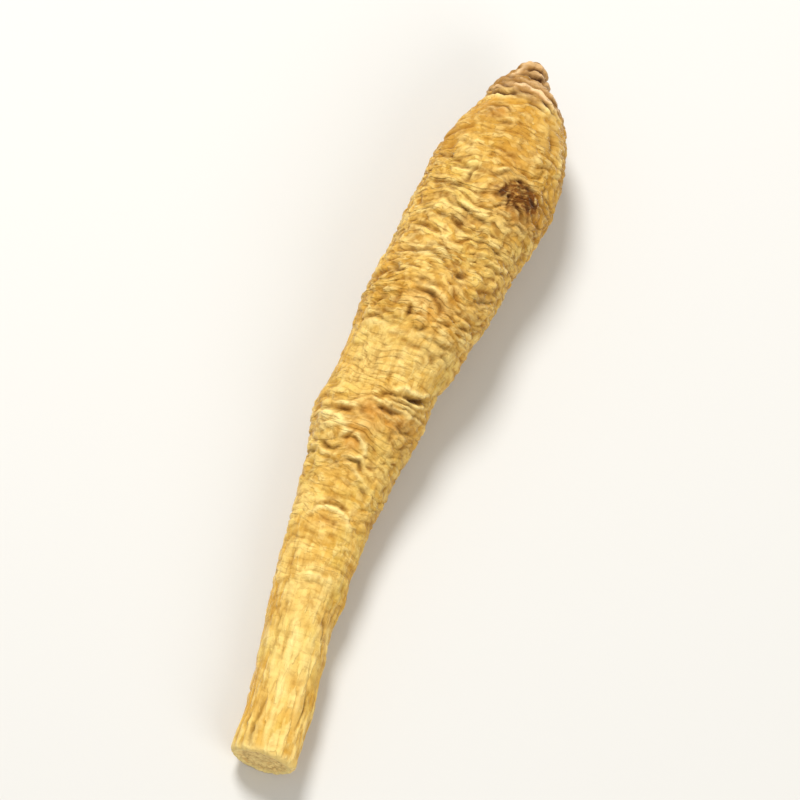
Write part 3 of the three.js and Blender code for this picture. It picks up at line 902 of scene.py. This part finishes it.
# Rings round the root in stacks that wander together: 1 in the line between two rings. Each line
# is broken into dashes, so many millimetres across and down.
def ring_folds(tree, place, spacing, seed, fold, across, down):
    counted = count_wrinkles(tree, place, *RING_STACK, seed)
    wander = add(tree, "ShaderNodeTexNoise", {"Vector": counted, "Scale": 1.0, "Detail": 1.0})
    along = add(tree, "ShaderNodeSeparateXYZ", {0: place}, "Y")
    phase = add(tree, "ShaderNodeMath", {0: along, 1: spacing}, operation="DIVIDE")
    phase = add(tree, "ShaderNodeMath", {0: wander, 1: RING_WANDER, 2: phase}, operation="MULTIPLY_ADD")
    to_line = add(tree, "ShaderNodeMath", {0: phase, 1: 0.5}, operation="PINGPONG")
    line = add(tree, "ShaderNodeMapRange", {"Value": to_line, "From Min": 0.0, "From Max": fold,
               "To Min": 1.0, "To Max": 0.0}, interpolation_type="SMOOTHSTEP")
    breaks = count_wrinkles(tree, place, across, down, seed)
    broken = add(tree, "ShaderNodeTexNoise", {"Vector": breaks, "Scale": 1.0, "Detail": 1.0})
    whole = add(tree, "ShaderNodeMapRange", {"Value": broken, "From Min": 0.36, "From Max": 0.50},
                interpolation_type="SMOOTHSTEP")
    return add(tree, "ShaderNodeMath", {0: line, 1: whole}, operation="MULTIPLY")


# The patterns that the shape and the colour of the skin share: lines of the folds, and swells
def skin_folds(tree, woven, threads, size, rings, grain):
    seed = size["Seed"]
    folds = {"Ring line": (ring_folds(tree, woven, size["Ring spacing"], seed, **RING_LINES), rings)}
    for kind, fold in CELLS.items():
        place, share = (threads, grain) if kind == "Strand" else (woven, rings)
        across, down = size[kind + " width"], size[kind + " length"]
        line, swell = cell_folds(tree, place, across, down, seed, fold)
        folds[kind + " line"] = (line, share)
        folds[kind] = (swell, share)
    return {name: add(tree, "ShaderNodeMath", {0: pattern, 1: share}, operation="MULTIPLY")
            for name, (pattern, share) in folds.items()}


# The wrinkles of a dried root, as a tree with named sizes. It reads what the skin knows of itself,
# moves each point outwards and writes how high it came out (relief).
def wrinkle_tree(skin_finish, flesh_finish):
    tree = bpy.data.node_groups.new("dried_root_wrinkles", "GeometryNodeTree")
    face = tree.interface
    face.new_socket("Geometry", in_out="INPUT", socket_type="NodeSocketGeometry")
    for name in WRINKLE_SIZES:
        face.new_socket(name, in_out="INPUT", socket_type="NodeSocketFloat")
    face.new_socket("Geometry", in_out="OUTPUT", socket_type="NodeSocketGeometry")
    geometry = add(tree, "NodeGroupInput")
    size = geometry.node.outputs
    known = {}
    for kind, names in (("FLOAT_VECTOR", ("woven", "threads", "outward")),
                        ("FLOAT", ("rings", "grain", "loose", "carved")), ("BOOLEAN", ("cut_face",))):
        for name in names:
            known[name] = add(tree, "GeometryNodeInputNamedAttribute", {"Name": name}, "Attribute",
                              data_type=kind)

    folds = skin_folds(tree, known["woven"], known["threads"], size, known["rings"], known["grain"])
    counted = count_wrinkles(tree, known["woven"], size["Lump size"], size["Lump size"], size["Seed"])
    lumps = add(tree, "ShaderNodeTexNoise", {"Vector": counted, "Scale": 1.0, "Detail": 2.0})
    lumps = add(tree, "ShaderNodeMath", {0: lumps, 1: 0.5}, operation="SUBTRACT")
    relief = add(tree, "ShaderNodeMath", {0: lumps, 1: size["Lump height"]}, operation="MULTIPLY")
    for kind in CELLS:
        relief = add(tree, "ShaderNodeMath", {0: folds[kind], 1: size[kind + " height"], 2: relief},
                     operation="MULTIPLY_ADD")
    sunk = add(tree, "ShaderNodeMath", {0: folds["Ring line"], 1: size["Ring depth"]},
               operation="MULTIPLY")
    total = relief
    for operation, other in (("SUBTRACT", sunk), ("MULTIPLY", known["loose"]), ("ADD", known["carved"])):
        total = add(tree, "ShaderNodeMath", {0: total, 1: other}, operation=operation)
    metres = add(tree, "ShaderNodeMath", {0: total, 1: MM}, operation="MULTIPLY")
    move = add(tree, "ShaderNodeVectorMath", {0: known["outward"], "Scale": metres}, operation="SCALE")
    geometry = add(tree, "GeometryNodeSetPosition", {"Geometry": geometry, "Offset": move})
    geometry = add(tree, "GeometryNodeStoreNamedAttribute", {
        "Geometry": geometry, "Name": "relief", "Value": total}, data_type="FLOAT", domain="POINT")
    geometry = add(tree, "GeometryNodeRealizeInstances", {"Geometry": geometry})
    geometry = add(tree, "GeometryNodeSetMaterial", {"Geometry": geometry, "Material": skin_finish})
    geometry = add(tree, "GeometryNodeSetMaterial", {
        "Geometry": geometry, "Selection": known["cut_face"], "Material": flesh_finish})
    add(tree, "NodeGroupOutput", {"Geometry": geometry})
    return tree


# Lays colours over one another, each by a share of 1 that may be scaled
def lay_over(tree, colour, layers):
    for over, share, strength in layers:
        scaled = add(tree, "ShaderNodeMath", {0: share, 1: strength}, operation="MULTIPLY",
                     use_clamp=True)
        colour = add(tree, "ShaderNodeMix", {0: scaled, 6: colour, 7: over}, 2, data_type="RGBA")
    return colour


# Patches of soft noise between 0 and 1, with sizes in millimetres across and down the root
def patches(tree, place, across, down, start, end, detail):
    counted = count_wrinkles(tree, place, across, down, CLOUD_SEED)
    cloud = add(tree, "ShaderNodeTexNoise", {"Vector": counted, "Scale": 1.0, "Detail": detail})
    return add(tree, "ShaderNodeMapRange", {"Value": cloud, "From Min": start, "From Max": end},
               interpolation_type="SMOOTHSTEP")


# Papery flakes that the skin scales into, each with a tone of its own between 0 and 1, and torn at
# its edges. Sizes are in millimetres across and down the root.
def torn_flakes(tree, place, across, down):
    counted = count_wrinkles(tree, place, across, down, FLAKE_SEED)
    ragged = add(tree, "ShaderNodeTexNoise", {"Vector": counted, "Scale": 1.6, "Detail": 4.0}, "Color")
    torn = add(tree, "ShaderNodeVectorMath", {0: ragged, 1: 1.1, 2: counted}, operation="MULTIPLY_ADD")
    tone = add(tree, "ShaderNodeTexVoronoi", {"Vector": torn, "Scale": 1.0, "Smoothness": 0.35},
               "Color", feature="SMOOTH_F1")
    return add(tree, "ShaderNodeSeparateColor", {0: tone}, "Red")


# Skin of an air-dried root: matte, papery, straw yellow, brown with painted shade in the grooves and
# folds, and cream where the ridges are rubbed and with painted highlight where the skin stands up, so
# the wrinkles read from colour as well as shade.
# Its loose fibres catch the light at the outline, which the sheen gives.
def dried_skin():
    skin, tree, shader = new_finish("air_dried_root_skin")
    known = {name: add(tree, "ShaderNodeAttribute", {}, "Fac", attribute_name=name)
             for name in TONES + ("rings", "grain", "tan", "relief")}
    woven, threads = [add(tree, "ShaderNodeAttribute", {}, "Vector", attribute_name=name)
                      for name in ("woven", "threads")]
    folds = skin_folds(tree, woven, threads, WRINKLE_SIZES, known["rings"], known["grain"])
    fine_rings = ring_folds(tree, woven, **FINE_RINGS)
    folds["Fine ring line"] = add(tree, "ShaderNodeMath", {0: fine_rings, 1: known["rings"]},
                                  operation="MULTIPLY")
    clouds = {name: patches(tree, woven, *sizes) for name, sizes in CLOUDS.items()}
    lengthwise = add(tree, "ShaderNodeMapRange", {"Value": known["grain"], "From Min": 0.3,
                     "From Max": 0.75})
    flakes = add(tree, "ShaderNodeMix", {0: lengthwise, 2: torn_flakes(tree, woven, *FLAKE),
                 3: torn_flakes(tree, threads, *LONG_FLAKE)})
    dull, bright = [add(tree, "ShaderNodeMapRange", {"Value": flakes, "From Min": 0.5, "From Max": end})
                    for end in (0.0, 1.0)]
    # Painted highlight where the skin stands up and painted shade where it is sunk, read from the relief
    high, low = [add(tree, "ShaderNodeMapRange", {
        "Value": known["relief"], "From Min": start, "From Max": end})
        for start, end in ((0.0, 0.35), (-0.1, -0.5))]
    # Painted shade in the lines of the folds, broken up unevenly
    fold_shade = {line: add(tree, "ShaderNodeMath", {0: folds[line], 1: clouds["shade_patchiness"]},
                      operation="MULTIPLY") for line in FOLD_SHADE}
    charred = add(tree, "ShaderNodeMath", {0: known["spot"], 1: clouds["char"]}, operation="MULTIPLY")
    # The cream of the painted highlight and of rubbed skin, tan on the crown
    cream_and_highlight = lay_over(tree, CREAM, [(CROWN_TAN, known["crown"], 1.0)])
    colour = lay_over(tree, STRAW, [
        (PALE_STRAW, clouds["straw"], 1.0),
        (OLIVE_STRAW, clouds["olive"], 0.4),
        (OCHRE, known["tan"], 0.9),
        (OCHRE, clouds["ochre"], 0.6),
        (OCHRE, dull, 0.65),
        (CREAM, bright, 0.45),
        (AMBER, known["ochre"], 0.8),
        (CROWN_BROWN, known["crown"], 0.8),
        (RUST_ORANGE, known["rust"], 0.85),
        (PALE_STRAW, known["pale"], 0.8),
        # painted highlight on the raised skin, then painted shade on the sunk skin
        (cream_and_highlight, high, 0.75),
        (GROOVE_SHADE_BROWN, low, 0.4),
        *[(GROOVE_SHADE_BROWN, fold_shade[line], strength) for line, strength in FOLD_SHADE.items()],
        # rubbed paleness and painted highlight on crests, lips and ridges
        (cream_and_highlight, known["rubbed_and_highlight"], 0.75),
        (SPOT_BROWN, charred, 1.3),
        # the crack tone: its own brown and painted shade in creases, grooves and the tip's hollow
        (CRACK_SHADE_BROWN, known["crack"], 0.85),
    ])
    height = add(tree, "ShaderNodeMath", {0: clouds["fibres"], 1: 0.2, 2: flakes},
                 operation="MULTIPLY_ADD")
    height = add(tree, "ShaderNodeMath", {0: folds["Fine ring line"], 1: -0.7, 2: height},
                 operation="MULTIPLY_ADD")
    bump = add(tree, "ShaderNodeBump", {"Height": height, "Strength": 0.8, "Distance": 0.00018})
    give(tree, shader, {"Base Color": colour, "Normal": bump, "Roughness": 0.75, "IOR": 1.45,
                        "Specular IOR Level": 0.25, "Sheen Weight": 0.45, "Sheen Roughness": 0.25,
                        "Sheen Tint": FIBRE_WHITE})
    return skin


# Flesh where the tail was sawn off dry: starchy, chalky and cream, with a brown ring of cambium
# part of the way out, cracks that run out from the middle, and darker pith spots
def cut_flesh():
    flesh, tree, shader = new_finish("sawn_dry_root_flesh")
    disc = add(tree, "ShaderNodeAttribute", {}, "Vector", attribute_name="disc")
    shake = (FLESH_RAGGED, FLESH_RAGGED, 0.0)
    half_shake = (FLESH_RAGGED / 2, FLESH_RAGGED / 2, 0.0)
    ragged = add(tree, "ShaderNodeTexNoise", {"Vector": disc, "Scale": 3.0, "Detail": 3.0}, "Color")
    shifted = add(tree, "ShaderNodeVectorMath", {0: ragged, 1: shake, 2: disc}, operation="MULTIPLY_ADD")
    centred = add(tree, "ShaderNodeVectorMath", {0: shifted, 1: half_shake}, operation="SUBTRACT")
    reach = add(tree, "ShaderNodeVectorMath", {0: centred}, "Value", operation="LENGTH")
    parts = add(tree, "ShaderNodeSeparateXYZ", {0: centred})
    turn = add(tree, "ShaderNodeMath", {0: parts, 1: parts.node.outputs["Y"]}, operation="ARCTAN2")
    spokes = add(tree, "ShaderNodeCombineXYZ", {0: turn, 1: reach})
    rays = add(tree, "ShaderNodeTexNoise", {"Vector": spokes, "Scale": 5.0, "Detail": 2.0})
    to_ray, to_ring = [
        add(tree, "ShaderNodeMath",
            {0: add(tree, "ShaderNodeMath", {0: value, 1: middle}, operation="SUBTRACT")},
            operation="ABSOLUTE")
        for value, middle in ((rays, 0.5), (reach, CAMBIUM_REACH))]
    crack = add(tree, "ShaderNodeMapRange", {"Value": to_ray, "From Min": 0.0, "From Max": 0.035,
                "To Min": 1.0, "To Max": 0.0})
    cambium = add(tree, "ShaderNodeMapRange", {"Value": to_ring, "From Min": 0.01, "From Max": 0.06,
                  "To Min": 1.0, "To Max": 0.0}, interpolation_type="SMOOTHSTEP")
    speckle = add(tree, "ShaderNodeTexNoise", {"Vector": disc, "Scale": 5.0, "Detail": 4.0})
    bark, blotch, rim = [
        add(tree, "ShaderNodeMapRange", {"Value": value, "From Min": start, "From Max": end})
        for value, start, end in ((reach, 0.6, 0.9), (speckle, 0.48, 0.62), (reach, 0.8, 0.95))]
    colour = lay_over(tree, FLESH_CREAM, [
        (FLESH_TAN, bark, 0.15),
        (FLESH_TAN, blotch, 0.55),
        (CAMBIUM_BROWN, cambium, 0.3),
        (CAMBIUM_BROWN, crack, 0.35),
        (CREAM, rim, 0.8),
    ])
    grit = add(tree, "ShaderNodeTexNoise", {"Vector": disc, "Scale": 30.0, "Detail": 3.0})
    height = add(tree, "ShaderNodeMath", {0: crack, 1: -1.0, 2: grit}, operation="MULTIPLY_ADD")
    bump = add(tree, "ShaderNodeBump", {"Height": height, "Strength": 0.8, "Distance": 0.00015})
    give(tree, shader, {"Base Color": colour, "Normal": bump, "Roughness": 0.85})
    return flesh


# The cut face's points, from the rim inwards: uneven and slightly sunk, with the edge proud
def cut_face_points(skin):
    centre = skin.line[-1]
    rim = skin.points[-AROUND:]
    rows = []
    for k in range(1, FLESH_RINGS):
        share = 1 - k / FLESH_RINGS
        ring = centre + (rim - centre) * share
        sunk = FLESH_SUNK * math.sin(math.pi * min(1, SINK_RATE * (1 - share)) / 2)
        sawn = skin.crown_y - skin.length + skin.cut_lean * ring[:, 2]
        ring[:, 1] = sawn + sunk + drift(ring, SAWN)[:, 1] * min(1, ROUGH_RATE * (1 - share))
        rows.append(ring)
    middle = centre.copy()
    middle[1] = float(np.mean(rows[-1][:, 1]))
    return np.concatenate(rows), middle


# The whole closed skin as a mesh that carries what the wrinkles and the finishes read
def bare_mesh(skin):
    inner, middle = cut_face_points(skin)
    tip = skin.line[0].copy()
    tip[1] = skin.crown_y
    count = len(skin.points)
    points = np.concatenate([skin.points, inner, [tip], [middle]])
    tip_index = count + len(inner)
    faces = skin.faces()
    faces += [(tip_index, (j + 1) % AROUND, j) for j in range(AROUND)]
    skin_faces = len(faces)
    outer = count - AROUND
    for k in range(FLESH_RINGS - 1):
        faces += quads_between(outer, count + k * AROUND)
        outer = count + k * AROUND
    faces += [(tip_index + 1, outer + j, outer + (j + 1) % AROUND) for j in range(AROUND)]
    mesh = bpy.data.meshes.new("ginseng_root_skin")
    mesh.from_pydata((points * MM).tolist(), [], faces)

    inner_rings = FLESH_RINGS - 1
    share = np.repeat(1 - np.arange(1, FLESH_RINGS) / FLESH_RINGS, AROUND)[:, None]
    woven, threads, outward = [np.tile(values[-AROUND:], (inner_rings, 1))
                               for values in (skin.woven, skin.threads, skin.outward)]
    spokes = np.stack([np.cos(skin.turn), np.sin(skin.turn), np.zeros(count)], axis=1)
    inner_spokes = np.tile(spokes[-AROUND:], (inner_rings, 1)) * share
    at_tip, at_middle = [(0, 0, 0)], [(0, skin.length, 0)]
    vectors = {
        "woven": np.concatenate([skin.woven, woven, at_tip, at_middle]),
        "threads": np.concatenate([skin.threads, threads, at_tip, at_middle]),
        "outward": np.concatenate([skin.outward, outward * share ** 2, [(0, 1, 0)], [(0, 0, 0)]]),
        "disc": np.concatenate([spokes, inner_spokes, [(0, 0, 0)], [(0, 0, 0)]]),
    }
    along = np.concatenate([skin.along, np.full(len(inner), skin.length), [0], [skin.length]])
    zones = np.array(SKIN_ZONES)
    numbers = {name: np.interp(along, zones[:, 0], zones[:, column])
               for column, name in ((1, "rings"), (2, "grain"), (3, "tan"))}
    numbers["loose"] = np.clip(along / TIP_END, 0, 1) * (np.arange(len(along)) < len(along) - 1)
    rim_relief = np.tile(skin.relief[-AROUND:], inner_rings)
    untoned = np.zeros(len(inner))
    for name, values, inside in (("carved", skin.relief, rim_relief),
                                 *[(name, tone, untoned) for name, tone in skin.tones.items()]):
        numbers[name] = np.concatenate([values, inside, [np.mean(values[:AROUND])], [0]])
    for name, values in vectors.items():
        layer = mesh.attributes.new(name, "FLOAT_VECTOR", "POINT")
        layer.data.foreach_set("vector", values.astype(np.float32).ravel())
    for name, values in numbers.items():
        layer = mesh.attributes.new(name, "FLOAT", "POINT")
        layer.data.foreach_set("value", values.astype(np.float32))
    is_cut = np.arange(len(faces)) >= skin_faces
    mesh.attributes.new("cut_face", "BOOLEAN", "FACE").data.foreach_set("value", is_cut)
    return mesh


# Runs the wrinkle tree on the bare mesh and gives back a plain mesh
def wrinkle(mesh):
    bare = place_object("bare_skin", mesh)
    finishes = [dried_skin(), cut_flesh()]
    for finish in finishes:
        mesh.materials.append(finish)
    tree = wrinkle_tree(*finishes)
    wrinkles = bare.modifiers.new("wrinkles", "NODES")
    wrinkles.node_group = tree
    for item in tree.interface.items_tree:
        if item.name in WRINKLE_SIZES:
            wrinkles[item.identifier] = WRINKLE_SIZES[item.name]
    bpy.context.view_layer.update()
    shaped = bare.evaluated_get(bpy.context.evaluated_depsgraph_get())
    final = bpy.data.meshes.new_from_object(shaped)
    bpy.data.objects.remove(bare)
    return final


# Shapes the root, keeps it from sinking into the table, and puts it in the CAD root's place
def make_root(frame):
    noise.seed_set(NOISE_SEED)
    skin = Skin(frame["nodes"]["ginseng_root"])
    for shape in (turn_crown, press_creases, strew_creases, raise_ridges, raise_lumps, stain_patches,
                  pale_cut_edge):
        shape(skin)
    final = wrinkle(bare_mesh(skin))
    places = np.zeros(len(final.vertices) * 3, np.float32)
    final.vertices.foreach_get("co", places)
    places = places.reshape(-1, 3)
    places[:, 2] = np.maximum(places[:, 2], 0)
    final.vertices.foreach_set("co", places.ravel())
    final.polygons.foreach_set("use_smooth", np.ones(len(final.polygons), bool))
    final.update()
    root = place_object("ginseng_root_skin", final)
    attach(root, "root")
    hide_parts("ginseng_root")


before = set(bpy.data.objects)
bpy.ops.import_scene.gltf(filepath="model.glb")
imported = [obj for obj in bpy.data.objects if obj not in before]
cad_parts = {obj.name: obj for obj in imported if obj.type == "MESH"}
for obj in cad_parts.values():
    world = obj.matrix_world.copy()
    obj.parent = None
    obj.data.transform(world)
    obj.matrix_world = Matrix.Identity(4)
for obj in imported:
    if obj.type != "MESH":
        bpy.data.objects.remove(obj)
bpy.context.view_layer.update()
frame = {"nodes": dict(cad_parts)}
make_camera()
make_studio()
make_table()
make_root(frame)
